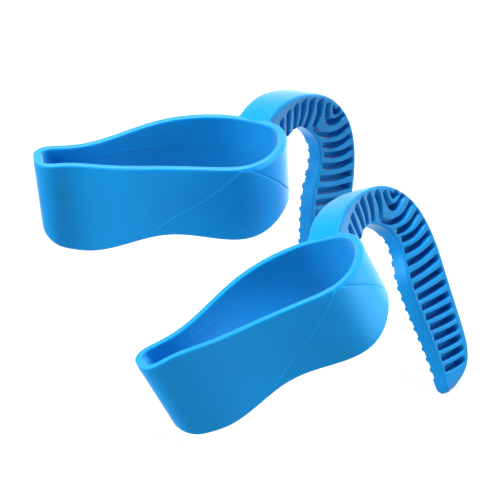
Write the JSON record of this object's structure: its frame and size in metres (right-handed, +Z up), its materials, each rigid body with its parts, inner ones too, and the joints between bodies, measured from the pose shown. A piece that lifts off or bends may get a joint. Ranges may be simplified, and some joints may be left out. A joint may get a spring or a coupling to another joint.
{
  "type": "pair of earbud ear hooks",
  "caption": "Soft one-piece hooks for earbuds: a waved teardrop sleeve to push over the bud, and a curved, ribbed arm that tucks into the ear.",
  "frame": {"origin": "on the surface the pair stands on, under the middle of the pair's bounding box", "axes": "+Z up from that surface, -Y toward the viewer, +X to the viewer's right. The front hook stands on the narrow end of its sleeve and its arm tip, the rear one behind it on its arm tip."},
  "size_m": [0.0336, 0.036, 0.018],
  "materials": {
    "silicone_front_sleeve": "satin matte moulded silicone",
    "silicone_front_hook": "satin matte moulded silicone",
    "silicone_rear_sleeve": "satin matte moulded silicone",
    "silicone_rear_hook": "satin matte moulded silicone"
  },
  "bodies": {
    "front_sleeve": {"front_sleeve": "silicone_front_sleeve"},
    "front_hook": {"front_hook": "silicone_front_hook"},
    "rear_sleeve": {"rear_sleeve": "silicone_rear_sleeve"},
    "rear_hook": {"rear_hook": "silicone_rear_hook"}
  },
  "joints": [
    {"name": "front_flex", "type": "hinge", "parent": "front_sleeve", "child": "front_hook", "pos_m": [0.00649, -0.00683, 0.01326], "axis": [0.8258, -0.3503, 0.4419], "range_deg": [-5, 20], "stiffness_Nm_per_rad": 0.004},
    {"name": "rear_lift", "type": "slide", "parent": "front_sleeve", "child": "rear_sleeve", "axis": [0, 0, 1], "range_m": [0, 0.03]},
    {"name": "rear_flex", "type": "hinge", "parent": "rear_sleeve", "child": "rear_hook", "pos_m": [0.00047, 0.00804, 0.01584], "axis": [0.8676, -0.4865, 0.1026], "range_deg": [-5, 20], "stiffness_Nm_per_rad": 0.004}
  ]
}
